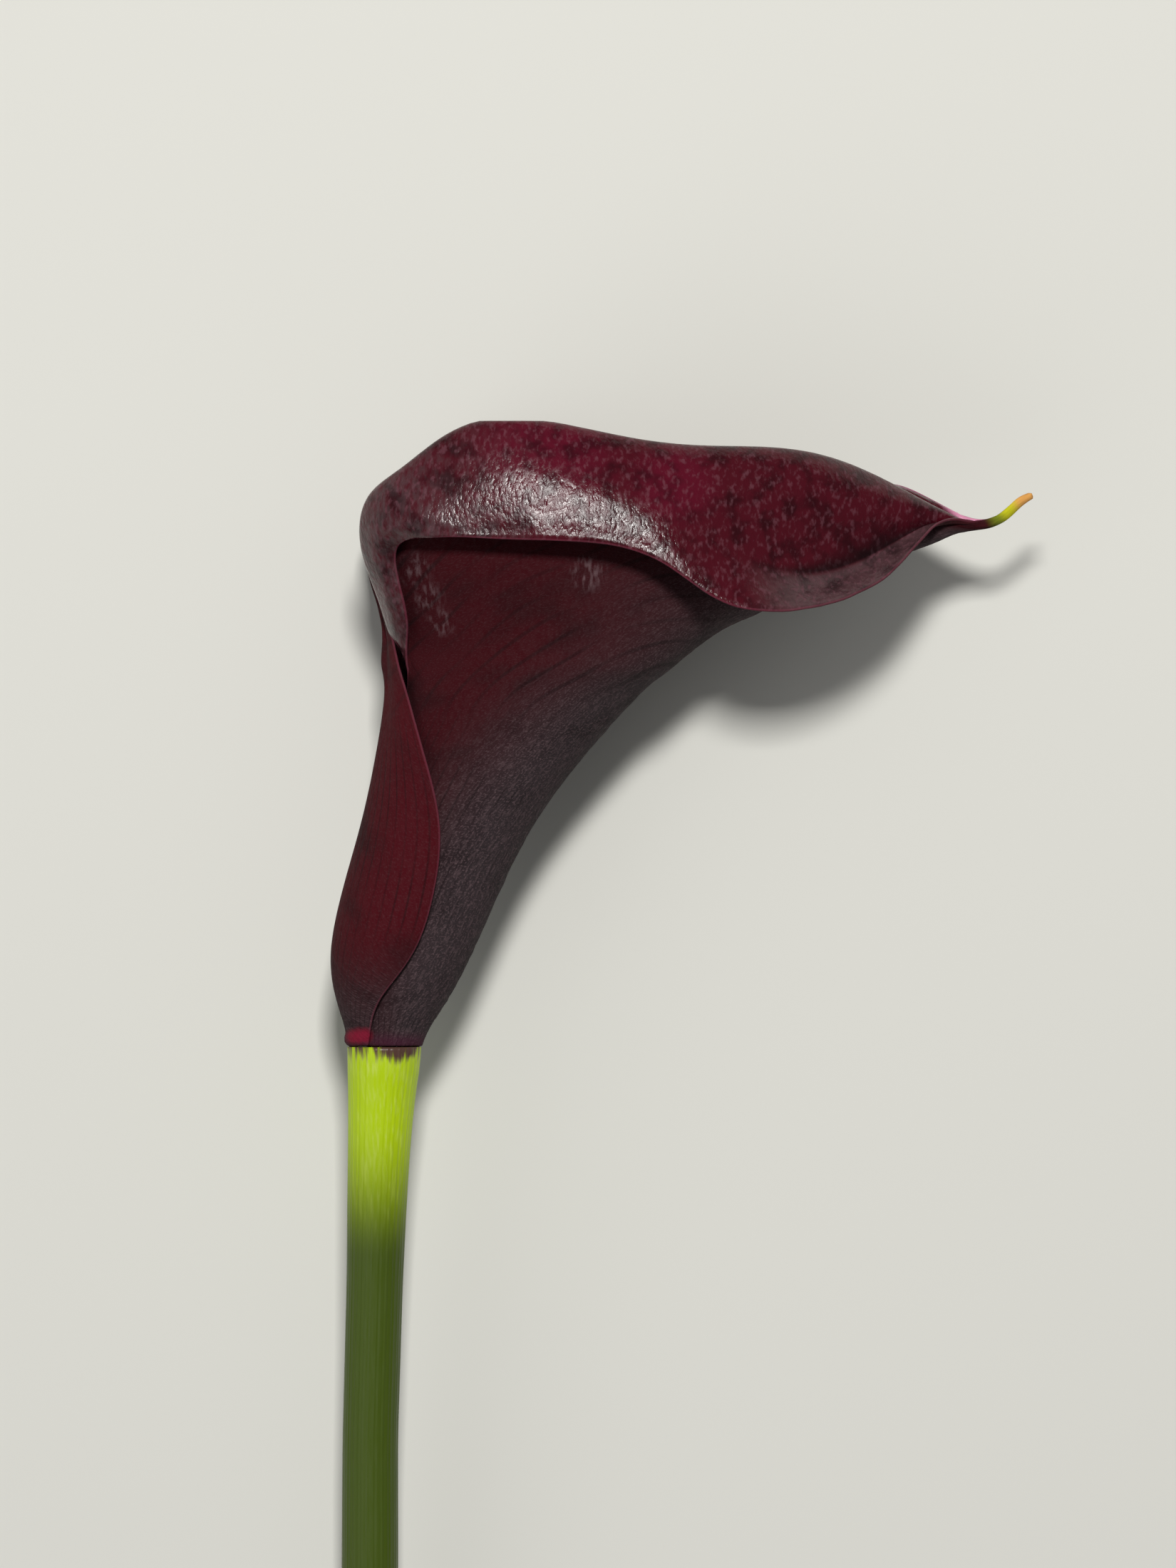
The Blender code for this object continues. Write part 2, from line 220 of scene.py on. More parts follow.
class CallaSizes(bpy.types.PropertyGroup):
    sheet: FloatProperty(
        name="Sheet", description="Thickness of the spathe away from its edge", default=0.84 * MM, unit="LENGTH"
    )
    edge: FloatProperty(
        name="Edge", description="Thickness of the spathe at its free edge", default=0.34 * MM, unit="LENGTH"
    )
    vein: FloatProperty(name="Vein", description="Depth of the long veins", default=0.12 * MM, unit="LENGTH")
    belly: FloatProperty(
        name="Belly", description="How far the lip bulges between crest and edge", default=0.55 * MM, unit="LENGTH"
    )
    swell: FloatProperty(
        name="Swell", description="Height of the slow uneven swells of the sheet", default=0.12 * MM, unit="LENGTH"
    )
    pebble: FloatProperty(
        name="Pebble", description="Height of the fine wrinkles low on the back", default=0.06 * MM, unit="LENGTH"
    )
    ruffle: FloatProperty(
        name="Ruffle", description="Waviness of the free edge", default=0.22 * MM, unit="LENGTH"
    )
    floret: FloatProperty(
        name="Floret", description="Width of one floret on the spadix", default=0.95 * MM, unit="LENGTH"
    )
    rib: FloatProperty(name="Rib", description="Height of the stem's fine ribs", default=0.05 * MM, unit="LENGTH")
    seed: IntProperty(name="Seed", description="Seed of the florets' places", default=7)


class CallaColours(bpy.types.PropertyGroup):
    back: hue("Back", "350109", "Outside of the spathe, deep wine")
    back_bright: hue("Bright back", "43030e", "Warmer red of the flap")
    back_sheen: hue("Dull back", "30272a", "Outside of the spathe along its midrib, greyed wine")
    # Painted sheen: the grey that grazing light lays on the velvet back, put into its colour along the midrib and low
    # down.
    lip: hue("Lip", "450a17", "Inside of the spathe, seen on the lip")
    lip_bright: hue("Bright lip", "520a1e", "Crimson of the lip's broadest part")
    # Painted sheen: the greyer mauve laid on the lip's start and on its flange, which faces the light.
    lip_sheen: hue("Dull lip", "4c3337", "Greyer mauve at the lip's start and on its flange")
    lip_light: hue("Light lip", "6f4550", "Lighter flecks of the lip")
    # The same near black also carries the painted shade in the lip's groove.
    dark: hue("Dark", "0c0204", "Veins and clouds, near black")
    bloom: hue("Bloom", "6e595d", "Pale waxy grain of the skin")
    rim: hue("Rim", "7c3a4c", "Pale line along the free edge")
    blush: hue("Blush", "d68fae", "Pink of the edge beside the tail")
    foot: hue("Foot", "44142c", "Wine of the spathe's foot")
    collar: hue("Collar", "721129", "Red collar at the spathe's foot")
    green: hue("Green", "6f7a1c", "Start of the tail")
    lime: hue("Lime", "c2bf1e", "Middle of the tail")
    tail: hue("Tail", "dda055", "Tip of the tail")
    stem_top: hue("Stem top", "aac603", "Stem under the flower")
    # Partly painted shade: the lower stem gets a darker olive than its own green.
    stem_low_shaded: hue("Stem", "3f500b", "Rest of the stem")
    stem_line: hue("Stem line", "ccd67a", "Pale lines along the stem")
    stem_cut: hue("Stem cut", "c9cf8e", "The stem's cut face")
    spadix: hue("Spadix", "c79a3c", "Florets of the spadix")
    pollen: hue("Pollen", "e3c777", "Pollen on the florets")
    spadix_old: hue("Old spadix", "8a6a2c", "Older florets")
    floor: hue("Floor", "d6d6d0", "Table under the flower")


# ---------------------------------------------------------------- form of the spathe


def at_rest(points):
    """Points of the flower's own frame, in mm, as the flower lies on the floor, in metres."""
    return (np.asarray(points, float) - (ORIGIN_X, ORIGIN_Y, FLOOR_Z)) * MM


def inside_box(points):
    """The points, held inside the frame's own box."""
    return np.clip(points, np.array(CAD_BOX[0]), np.array(CAD_BOX[1]))


def bezier(a, b, c, d, s):
    a, b, c, d = (np.array(p, float) for p in (a, b, c, d))
    r = 1 - s
    return r**3 * a + 3 * r * r * s * b + 3 * r * s * s * c + s**3 * d


def roll_rib(height, mid_x, half_w, half_d, flap_edge, inner_edge):
    """One closed rib of the roll: 17 points from the flap's edge, round the floor side, to the inner edge."""
    wrap = 360 - flap_edge
    angles = [-180 - (wrap - 180) * f for f in FLAP_STOPS]
    angles += [-180, -144, -108, -72, -36, 0]
    angles += [inner_edge * f for f in INNER_STOPS]
    points = []
    for a in angles:
        step = LAYER_STEP * min(max(a, 0) / LAYER_TURN, 1.0)
        c, s = math.cos(math.radians(a)), math.sin(math.radians(a))
        points.append((mid_x + (half_w - step) * c, height, (half_d - step) * s))
    return np.array(points)


def lip_rib(mid, up, down):
    """One open rib: 17 points from the lower side's edge, over its crest, past the midrib, to the upper edge."""
    spine, low_handle, high_handle = (np.array(p, float) for p in mid)
    flip = np.array([1, 1, -1])
    near = [bezier(spine, low_handle, high_handle, up[0], s) for s in WALL_STOPS]
    far_handle = np.array(down[0]) + high_handle - np.array(up[0])
    far_handle[2] = -high_handle[2]
    far = [bezier(spine, low_handle * flip, far_handle, down[0], s) for s in WALL_STOPS]
    return np.array([*down[::-1], *far[::-1], spine, *near, *up], float)


def spline(count, per_span):
    """A matrix that carries count points to a fine row on the smooth curve through them."""
    solve = np.eye(count) * 4 / 6 + (np.eye(count, k=1) + np.eye(count, k=-1)) / 6
    solve[0], solve[-1] = np.eye(count)[0], np.eye(count)[-1]
    fine = np.zeros(((count - 1) * per_span + 1, count + 2))
    for row in range(len(fine)):
        span = min(row // per_span, count - 2)
        u = row / per_span - span
        fine[row, span : span + 4] += np.array(
            [(1 - u) ** 3, 3 * u**3 - 6 * u * u + 4, -3 * u**3 + 3 * u * u + 3 * u + 1, u**3]
        ) / 6
    ends = np.zeros((count + 2, count))
    ends[1:-1] = np.eye(count)
    ends[0, :2] = ends[-1, : -3 : -1] = (2, -1)
    return fine @ ends @ np.linalg.inv(solve)


def smooth_step(low, high, x):
    t = np.clip((x - low) / (high - low), 0, 1)
    return t * t * (3 - 2 * t)


def ripples(x, y, seed, octaves=3):
    """Smooth seeded ripples over a plane, from about -1 to 1."""
    rng = np.random.default_rng(seed)
    total = np.zeros_like(x)
    for k in range(octaves):
        for _ in range(5):
            angle, phase = rng.uniform(0, 2 * math.pi, 2)
            f = 2**k * rng.uniform(0.7, 1.4)
            total += np.sin(f * (x * math.cos(angle) + y * math.sin(angle)) + phase) / (5 * 1.6**k)
    return total


def unit(v):
    return v / np.maximum(np.linalg.norm(v, axis=-1, keepdims=True), 1e-9)


def row_lengths(grid, axis):
    """Running length in mm along one axis of a grid of points."""
    step = np.linalg.norm(np.diff(grid, axis=axis), axis=-1)
    start = np.zeros_like(np.take(step, [0], axis=axis))
    return np.concatenate([start, np.cumsum(step, axis=axis)], axis=axis)


def spathe_sheet(sizes):
    """The sheet's middle surface, its normals, its half thickness and the maps its colours follow."""
    ribs = [roll_rib(*r) for r in ROLLS]
    ribs += [lip_rib(m, u, d) for m, u, d in zip(MIDRIB, LIP_UP, LIP_DOWN)]
    grid = np.array(ribs)
    down_rows, over_cols = spline(grid.shape[0], 11), spline(grid.shape[1], 10)
    mid = np.einsum("ar,rck,bc->abk", down_rows, grid, over_cols)
    normal = unit(np.cross(np.gradient(mid, axis=0), np.gradient(mid, axis=1)))
    across = row_lengths(mid, 1)
    along = row_lengths(mid, 0)
    width = across[:, -1:]
    edge = np.minimum(across, width - across)
    midrib = [MIDRIB_KEY * 10]
    key = np.linspace(0, grid.shape[1] - 1, mid.shape[1])[None, :] + np.zeros_like(across)
    rib = np.linspace(0, grid.shape[0] - 1, mid.shape[0])[:, None] + np.zeros_like(across)
    narrow = smooth_step(1.0, 9.0, width)
    wave = ripples(along * 0.35, key * 0.4, 3)
    ruffle = sizes.ruffle / MM * wave * (1 - smooth_step(0, 7, edge)) * narrow * smooth_step(7.5, 10, rib)
    wander = 0.25 * ripples(along * 0.045, key * 0.6, 5, 2)
    phase = (key + wander) / VEIN_KEYS
    low_back = smooth_step(3.4, 1.2, np.abs(key - MIDRIB_KEY)) * smooth_step(19, 8, rib)
    pebble = sizes.pebble / MM * ripples(across * 2.4, along * 1.1, 11, 2) * (0.2 + low_back)
    swell = 0.5 * ripples(along * 0.10, key * 0.5, 21, 2) * smooth_step(8.5, 11, rib) * smooth_step(1, 8, edge)
    belly = sizes.belly / MM * np.cos(np.clip(key - BELLY_KEY, -1, 1) * math.pi / 2) ** 2
    belly *= smooth_step(11.5, 13.5, rib) * smooth_step(16.5, 15.0, rib)
    fade = narrow * smooth_step(0.3, 2.5, edge) * smooth_step(0, 1.2, rib)
    collar = smooth_step(0, 0.18, rib) * smooth_step(0.75, 0.45, rib)
    collar *= smooth_step(-0.2, 0.6, key) * smooth_step(4.2, 3.2, key)
    mid = mid + normal * (ruffle - belly + (pebble + sizes.swell / MM * swell) * fade)[..., None]
    half = 0.5 * (sizes.edge + (sizes.sheet - sizes.edge) * smooth_step(0, 3.0, edge)) / MM
    half = TAIL_HALF * (1 - narrow) + half * narrow + COLLAR_HEIGHT * collar
    maps = {
        "edge_mm": edge,
        "along_rib": rib,
        "across_key": key,
        "vein_phase": phase,
        "across_mm": across - across[:, midrib],
        "along_mm": along,
    }
    return mid, normal, half, maps


def grid_faces(rows, cols, offset, turned):
    index = offset + np.arange(rows * cols).reshape(rows, cols)
    a, b, c, d = index[:-1, :-1], index[:-1, 1:], index[1:, 1:], index[1:, :-1]
    quads = np.stack([a, b, c, d] if not turned else [d, c, b, a], axis=-1)
    return quads.reshape(-1, 4)


def border(rows, cols):
    """The indices round a grid's border, in order."""
    index = np.arange(rows * cols).reshape(rows, cols)
    return np.concatenate([index[0, :-1], index[:-1, -1], index[-1, :0:-1], index[:0:-1, 0]])


def shell(mid, normal, half):
    """A closed sheet: its two faces, and a rim with one middle row so that the edge is round."""
    rows, cols = mid.shape[:2]
    n = rows * cols
    one, two = mid + normal * half[..., None], mid - normal * half[..., None]
    ring = border(rows, cols)
    flat = mid.reshape(-1, 3)
    out = np.zeros_like(mid)
    out[:, 0] += mid[:, 0] - mid[:, 1]
    out[:, -1] += mid[:, -1] - mid[:, -2]
    out[0] += mid[0] - mid[1]
    out[-1] += mid[-1] - mid[-2]
    rim = flat[ring] + unit(out).reshape(-1, 3)[ring] * half.reshape(-1)[ring][:, None] * 0.7
    points = np.concatenate([one.reshape(-1, 3), two.reshape(-1, 3), rim])
    faces = [grid_faces(rows, cols, 0, False), grid_faces(rows, cols, n, True)]
    here, there = ring, np.roll(ring, -1)
    middle = 2 * n + np.arange(len(ring))
    after = np.roll(middle, -1)
    faces.append(np.stack([there, here, middle, after], axis=-1))
    faces.append(np.stack([after, middle, here + n, there + n], axis=-1))
    return points, np.concatenate(faces), ring


# ---------------------------------------------------------------- meshes


def mesh_object(name, points, faces, material, maps=None):
    """A smooth-shaded piece, in metres, with its point attributes. A quad that names a corner twice is a triangle."""
    mesh = bpy.data.meshes.new(name)
    mesh.from_pydata(np.asarray(points).tolist(), [], [list(dict.fromkeys(f)) for f in faces])
    for label, values in (maps or {}).items():
        mesh.attributes.new(label, "FLOAT", "POINT").data.foreach_set("value", np.asarray(values, np.float32))
    mesh.shade_smooth()
    mesh.materials.append(material)
    mesh.update()
    obj = bpy.data.objects.new(name, mesh)
    bpy.context.scene.collection.objects.link(obj)
    return obj


def outward(points, faces):
    """The faces, turned so that the closed body they make has a positive volume."""
    a, b, c, d = (points[faces[:, k]] for k in range(4))
    volume = np.einsum("ij,ij->", a, np.cross(b, c)) + np.einsum("ij,ij->", a, np.cross(c, d))
    return faces if volume > 0 else faces[:, ::-1]


def tube(sections, sides, row_step, ease, swell):
    """A round body through (x, y, z, radius) sections, eased over some mm; swell(angle, y) adds to the radius."""
    x, y, z, r = np.array(sections, float).T
    rows = np.linspace(y[0], y[-1], int((y[-1] - y[0]) / row_step) + 1)
    shifts = np.linspace(-ease, ease, 9)
    turn = np.linspace(0, 2 * math.pi, sides, endpoint=False)
    columns = [np.mean([np.interp(rows + s, y, line) for s in shifts], axis=0) for line in (x, z, r)]
    rings = []
    for y, x, z, r in zip(rows, *columns):
        radius = r + swell(turn, y)
        rings.append(np.stack([x + radius * np.cos(turn), y + 0 * turn, z + radius * np.sin(turn)], axis=-1))
    return np.array(rings)


def capped(rings, dish):
    """Points and faces of a tube with a rounded, slightly dished disc at each end."""
    for end, inner in ((0, 1), (-1, -2)):
        centre = rings[end].mean(axis=0)
        inward = unit(rings[inner].mean(axis=0) - centre)
        extra = [centre + (rings[end] - centre) * f + inward * dish * (1 - f) for f in (0.92, 0.6, 0.3, 0.06)]
        extra = np.array(extra)
        rings = np.concatenate([extra[::-1], rings]) if end == 0 else np.concatenate([rings, extra])
    count, sides = rings.shape[:2]
    points = rings.reshape(-1, 3)
    index = np.arange(count * sides).reshape(count, sides)
    nxt = np.roll(index, -1, axis=1)
    faces = np.stack([index[:-1], nxt[:-1], nxt[1:], index[1:]], axis=-1).reshape(-1, 4)
    hubs = []
    for row, flip in ((0, False), (-1, True)):
        hub = len(points)
        points = np.concatenate([points, rings[row].mean(axis=0)[None]])
        tri = np.stack([index[row], nxt[row], np.full(sides, hub), np.full(sides, hub)], axis=-1)
        hubs.append(tri[:, [1, 0, 2, 3]] if not flip else tri)
    return points, outward(points, np.concatenate([faces, *hubs]))


# ---------------------------------------------------------------- materials


def add(tree, kind, inputs=None, out=0, **settings):
    """Adds a node, sets its properties, sets or links its inputs, and returns one of its outputs."""
    node = tree.nodes.new(kind)
    for key, value in settings.items():
        setattr(node, key, value)
    for key, value in (inputs or {}).items():
        if isinstance(value, bpy.types.NodeSocket):
            tree.links.new(value, node.inputs[key])
        else:
            node.inputs[key].default_value = value
    return node.outputs[out] if len(node.outputs) else None


def new_material(name):
    """A material with an empty node tree."""
    mat = bpy.data.materials.new(name)
    mat.use_nodes = True
    mat.node_tree.nodes.clear()
    return mat, mat.node_tree


def spathe_masks(tree):
    """The sheet's own maps as sockets, its place, and a vector in mm along the tissue."""
    names = ("inside", "edge_mm", "along_rib", "across_key", "vein_phase", "across_mm", "along_mm")
    masks = {name: add(tree, "ShaderNodeAttribute", out="Fac", attribute_name=name) for name in names}
    masks["place"] = add(tree, "ShaderNodeTexCoord", out="Object")
    flat = {0: masks["place"], 1: (1, 1, 0)}
    masks["flat"] = add(tree, "ShaderNodeVectorMath", flat, operation="MULTIPLY")
    masks["tissue_mm"] = add(
        tree, "ShaderNodeCombineXYZ", {0: masks["across_mm"], 1: masks["along_mm"], 2: masks["inside"]}
    )
    return masks


def spots(tree, flat, centres):
    """The strongest of several soft round spots seen from above, each (x, y, reach) in mm of the flower's frame."""
    total = 0.0
    for x, y, reach in centres:
        centre = (*at_rest((x, y, 0))[:2], 0)
        gap = add(tree, "ShaderNodeVectorMath", {0: flat, 1: centre}, "Value", operation="DISTANCE")
        spot = add(tree, "ShaderNodeMapRange", {0: gap, 1: reach * MM, 2: reach * MM * 0.3}, **SOFT)
        total = add(tree, "ShaderNodeMath", {0: total, 1: spot}, operation="MAXIMUM")
    return total


def back_colour(tree, colours, masks, grain, wrinkle):
    """The outside: deep wine, warmer on the flap, greyed by painted sheen along the midrib and low on the back, with
    a fine pale velvet grain.
    """
    key, rib, place = masks["across_key"], masks["along_rib"], masks["place"]
    # Painted sheen: grey where the back turns away along the midrib, and low on the back near the foot.
    off = add(tree, "ShaderNodeMath", {0: key, 1: MIDRIB_KEY + 0.5}, operation="SUBTRACT")
    off = add(tree, "ShaderNodeMath", {0: off}, operation="ABSOLUTE")
    reach = add(tree, "ShaderNodeMapRange", {0: rib, 1: 9.5, 2: 4.5, 3: 1.5, 4: 3.5}, **SOFT)
    off = add(tree, "ShaderNodeMath", {0: off, 1: reach}, operation="SUBTRACT")
    painted_sheen = add(tree, "ShaderNodeMapRange", {0: off, 1: 1.2, 2: -2.2}, **SOFT)
    flap = add(tree, "ShaderNodeMapRange", {0: key, 1: 4.6, 2: 1.6}, **SOFT)
    height = add(tree, "ShaderNodeMapRange", {0: rib, 1: 1.4, 2: 4.0}, **SOFT)
    flap = add(tree, "ShaderNodeMath", {0: flap, 1: height}, operation="MULTIPLY")
    tone = add(tree, "ShaderNodeMix", {0: flap, 6: colours.back, 7: colours.back_bright}, 2, **RGBA)
    low = add(tree, "ShaderNodeMapRange", {0: rib, 1: 3.4, 2: 1.2, 3: 0.0, 4: 0.7}, **SOFT)
    painted_sheen = add(tree, "ShaderNodeMath", {0: painted_sheen, 1: low}, operation="MAXIMUM")
    tone = add(tree, "ShaderNodeMix", {0: painted_sheen, 6: tone, 7: colours.back_sheen}, 2, **RGBA)
    cloud = add(tree, "ShaderNodeTexNoise", {"Vector": masks["tissue_mm"], "Scale": 0.11, "Detail": 2.0}, "Fac")
    cloud = add(tree, "ShaderNodeMapRange", {0: cloud, 1: 0.45, 2: 0.75, 3: 0.0, 4: 0.5}, **SOFT)
    tone = add(tree, "ShaderNodeMix", {0: cloud, 6: tone, 7: colours.dark}, 2, **RGBA)
    # The pale grain and the wrinkles' ridges grow paler where the painted sheen lies.
    share = add(tree, "ShaderNodeMapRange", {0: painted_sheen, 3: 0.07, 4: 0.40}, **SOFT)
    fleck = add(tree, "ShaderNodeMapRange", {0: grain, 1: 0.5, 2: 0.68}, **SOFT)
    fleck = add(tree, "ShaderNodeMath", {0: fleck, 1: share}, operation="MULTIPLY")
    tone = add(tree, "ShaderNodeMix", {0: fleck, 6: tone, 7: colours.bloom}, 2, **RGBA)
    ridge = add(tree, "ShaderNodeMapRange", {0: wrinkle, 1: 0.48, 2: 0.66, 3: 0.0, 4: 0.22}, **SOFT)
    ridge = add(tree, "ShaderNodeMath", {0: ridge, 1: painted_sheen}, operation="MULTIPLY")
    tone = add(tree, "ShaderNodeMix", {0: ridge, 6: tone, 7: colours.bloom}, 2, **RGBA)
    scuff = add(tree, "ShaderNodeMapping", {"Vector": place, "Rotation": (0, 0, -0.3), "Scale": WEAR})
    scuff = add(tree, "ShaderNodeTexNoise", {"Vector": scuff, "Scale": 1.0, "Detail": 5.0}, "Fac")
    scuff = add(tree, "ShaderNodeMapRange", {0: scuff, 1: 0.44, 2: 0.7, 3: 0.0, 4: 0.5}, **SOFT)
    worn = spots(tree, masks["flat"], SCUFFS)
    scuff = add(tree, "ShaderNodeMath", {0: scuff, 1: worn}, operation="MULTIPLY")
    return add(tree, "ShaderNodeMix", {0: scuff, 6: tone, 7: colours.bloom}, 2, **RGBA)


def lip_colour(tree, colours, masks, fleck):
    """The inside: crimson wax with small pale flecks, a painted sheen of greyer mauve at the roll's end and on its
    flange, and painted shade darkening its groove.
    """
    rib, key, place = masks["along_rib"], masks["across_key"], masks["place"]
    crimson = spots(tree, masks["flat"], CRIMSON)
    tone = add(tree, "ShaderNodeMix", {0: crimson, 6: colours.lip, 7: colours.lip_bright}, 2, **RGBA)
    # Painted sheen: greyer mauve at the lip's start, where it turns to the side, and on the flange, which faces the
    # light.
    start = add(tree, "ShaderNodeMapRange", {0: rib, 1: 14.6, 2: 12.2}, **SOFT)
    brush = add(tree, "ShaderNodeMapping", {"Vector": place, "Rotation": (0, 0, -0.35), "Scale": BRUSH})
    brush = add(tree, "ShaderNodeTexNoise", {"Vector": brush, "Scale": 1.0, "Detail": 3.0}, "Fac")
    brush = add(tree, "ShaderNodeMapRange", {0: brush, 1: 0.36, 2: 0.64, 3: 0.15, 4: 1.0}, **SOFT)
    start = add(tree, "ShaderNodeMath", {0: start, 1: brush}, operation="MULTIPLY")
    tone = add(tree, "ShaderNodeMix", {0: start, 6: tone, 7: colours.lip_sheen}, 2, **RGBA)
    flange = add(tree, "ShaderNodeMapRange", {0: key, 1: 15.1, 2: 15.3}, **SOFT)
    far = add(tree, "ShaderNodeMapRange", {0: rib, 1: 16.2, 2: 17.0}, **SOFT)
    flange = add(tree, "ShaderNodeMath", {0: flange, 1: far}, operation="MULTIPLY")
    tone = add(tree, "ShaderNodeMix", {0: flange, 6: tone, 7: colours.lip_sheen}, 2, **RGBA)
    mottle = add(tree, "ShaderNodeTexNoise", {"Vector": place, "Scale": 0.33 / MM, "Detail": 3.0}, "Fac")
    mottle = add(tree, "ShaderNodeMapRange", {0: mottle, 1: 0.42, 2: 0.7, 3: 0.0, 4: 0.6}, **SOFT)
    tone = add(tree, "ShaderNodeMix", {0: mottle, 6: tone, 7: colours.dark}, 2, **RGBA)
    light = add(tree, "ShaderNodeMapRange", {0: fleck, 1: 0.5, 2: 0.72, 3: 0.0, 4: 0.38}, **SOFT)
    tone = add(tree, "ShaderNodeMix", {0: light, 6: tone, 7: colours.lip_light}, 2, **RGBA)
    # Painted shade: a dark wedge along the groove's upper side, where the crease shades itself.
    above = add(tree, "ShaderNodeMath", {0: GROOVE_KEY, 1: key}, operation="SUBTRACT")
    lower_side = add(tree, "ShaderNodeMapRange", {0: above, 1: -0.08, 2: 0.02}, **SOFT)
    width = add(tree, "ShaderNodeMapRange", {0: rib, 1: 16.6, 2: 18.2, 3: 0.1, 4: 0.8}, **SOFT)
    above = add(tree, "ShaderNodeMath", {0: above, 1: width}, operation="DIVIDE")
    groove = add(tree, "ShaderNodeMapRange", {0: above, 1: 1.0, 2: 0.0, 3: 0.0, 4: 0.85}, **SOFT)
    groove = add(tree, "ShaderNodeMath", {0: groove, 1: lower_side}, operation="MULTIPLY")
    reach = add(tree, "ShaderNodeMapRange", {0: rib, 1: 16.4, 2: 17.2}, **SOFT)
    groove = add(tree, "ShaderNodeMath", {0: groove, 1: reach}, operation="MULTIPLY")
    return add(tree, "ShaderNodeMix", {0: groove, 6: tone, 7: colours.dark}, 2, **RGBA)


def vein_lines(tree, masks):
    """Fine dark veins: along the roll below, and in wide arcs toward the lip above it."""
    x, y, _ = at_rest((*VEIN_CENTRE, 0))
    arc = add(tree, "ShaderNodeVectorMath", {0: masks["flat"], 1: (x, y, 0)}, "Value", operation="DISTANCE")
    arc = add(tree, "ShaderNodeMath", {0: arc, 1: VEIN_STEP * MM}, operation="DIVIDE")
    wander = add(tree, "ShaderNodeTexNoise", {"Vector": masks["place"], "Scale": 0.05 / MM, "Detail": 1.0}, "Fac")
    arc = add(tree, "ShaderNodeMath", {0: wander, 1: 1.6, 2: arc}, operation="MULTIPLY_ADD")
    total = 0.0
    for phase, low, high in ((masks["vein_phase"], 7.0, 5.8), (arc, 6.2, 7.4)):
        line = add(tree, "ShaderNodeMath", {0: phase, 1: 0.5}, operation="PINGPONG")
        line = add(tree, "ShaderNodeMapRange", {0: line, 1: 0.13, 2: 0.03}, **SOFT)
        share = add(tree, "ShaderNodeMapRange", {0: masks["along_rib"], 1: low, 2: high}, **SOFT)
        total = add(tree, "ShaderNodeMath", {0: line, 1: share, 2: total}, operation="MULTIPLY_ADD")
    patchy = add(tree, "ShaderNodeTexNoise", {"Vector": masks["place"], "Scale": 0.08 / MM, "Detail": 1.0}, "Fac")
    patchy = add(tree, "ShaderNodeMapRange", {0: patchy, 1: 0.35, 2: 0.65, 3: 0.08, 4: 0.5}, **SOFT)
    outside = add(tree, "ShaderNodeMath", {0: 1.0, 1: masks["inside"]}, operation="SUBTRACT")
    patchy = add(tree, "ShaderNodeMath", {0: patchy, 1: outside}, operation="MULTIPLY")
    return add(tree, "ShaderNodeMath", {0: total, 1: patchy}, operation="MULTIPLY")


def ends_and_edges(tree, colours, masks, tissue):
    """The free edge's thin pale line, the pink edge by the tail, the wine foot with its collar, and the tail."""
    rib, key, edge = masks["along_rib"], masks["across_key"], masks["edge_mm"]
    rim = add(tree, "ShaderNodeMapRange", {0: edge, 1: 0.22, 2: 0.05, 3: 0.0, 4: 0.3}, **SOFT)
    tissue = add(tree, "ShaderNodeMix", {0: rim, 6: tissue, 7: colours.rim}, 2, **RGBA)
    pink = add(tree, "ShaderNodeMapRange", {0: edge, 1: 1.6, 2: 0.4}, **SOFT)
    for value, low, high in ((key, 5.0, 3.0), (rib, 17.4, 19.2), (rib, 20.8, 20.2)):
        limit = add(tree, "ShaderNodeMapRange", {0: value, 1: low, 2: high}, **SOFT)
        pink = add(tree, "ShaderNodeMath", {0: pink, 1: limit}, operation="MULTIPLY")
    tissue = add(tree, "ShaderNodeMix", {0: pink, 6: tissue, 7: colours.blush}, 2, **RGBA)
    foot = add(tree, "ShaderNodeMapRange", {0: rib, 1: 1.0, 2: 0.15, 3: 0.0, 4: 0.6}, **SOFT)
    tissue = add(tree, "ShaderNodeMix", {0: foot, 6: tissue, 7: colours.foot}, 2, **RGBA)
    collar = spots(tree, masks["flat"], COLLAR)
    tissue = add(tree, "ShaderNodeMix", {0: collar, 6: tissue, 7: colours.collar}, 2, **RGBA)
    for low, high, colour in TAIL_COLOURS:
        part = add(tree, "ShaderNodeMapRange", {0: rib, 1: low, 2: high}, **SOFT)
        tissue = add(tree, "ShaderNodeMix", {0: part, 6: tissue, 7: getattr(colours, colour)}, 2, **RGBA)
    return tissue


